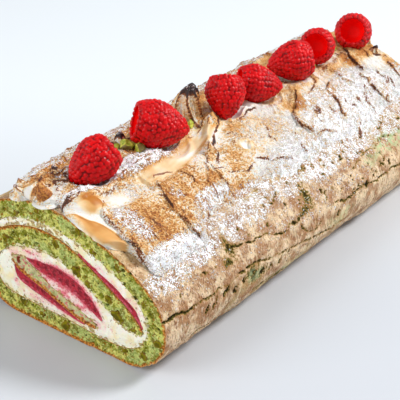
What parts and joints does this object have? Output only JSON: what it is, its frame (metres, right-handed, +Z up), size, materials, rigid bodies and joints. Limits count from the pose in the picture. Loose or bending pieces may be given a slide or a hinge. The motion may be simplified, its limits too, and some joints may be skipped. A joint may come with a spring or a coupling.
{
  "type": "pistachio roll cake",
  "caption": "Rolled green pistachio sponge with a spiral of cream and raspberry jelly at its cut face, under toasted meringue with a row of raspberries and chopped nuts.",
  "frame": {"origin": "on the table, under the middle of the cake's box", "axes": "+Z up; +Y along the roll, from the cut face to the far end; +X to the right as seen from the cut face"},
  "size_m": [0.1228, 0.251, 0.086],
  "materials": {
    "sponge": "matt open crumb, green inside with a tan baked crust",
    "cream": "soft satin cream, pink beside the jelly",
    "jelly": "wet gloss, deep raspberry red",
    "meringue": "satin, white in the hollows and toasted gold to dark brown on the ridges, dusted with sugar",
    "raspberry": "moist skin with a fine bloom"
  },
  "bodies": {
    "root": {"sponge": "sponge", "sponge_core": "sponge", "cream": "cream", "jelly_outer": "jelly", "jelly_middle": "jelly", "jelly_inner": "jelly", "meringue": "meringue", "raspberry_1": "raspberry", "raspberry_2": "raspberry", "raspberry_3": "raspberry", "raspberry_4": "raspberry", "raspberry_5": "raspberry", "raspberry_6": "raspberry", "raspberry_7": "raspberry"}
  },
  "joints": []
}
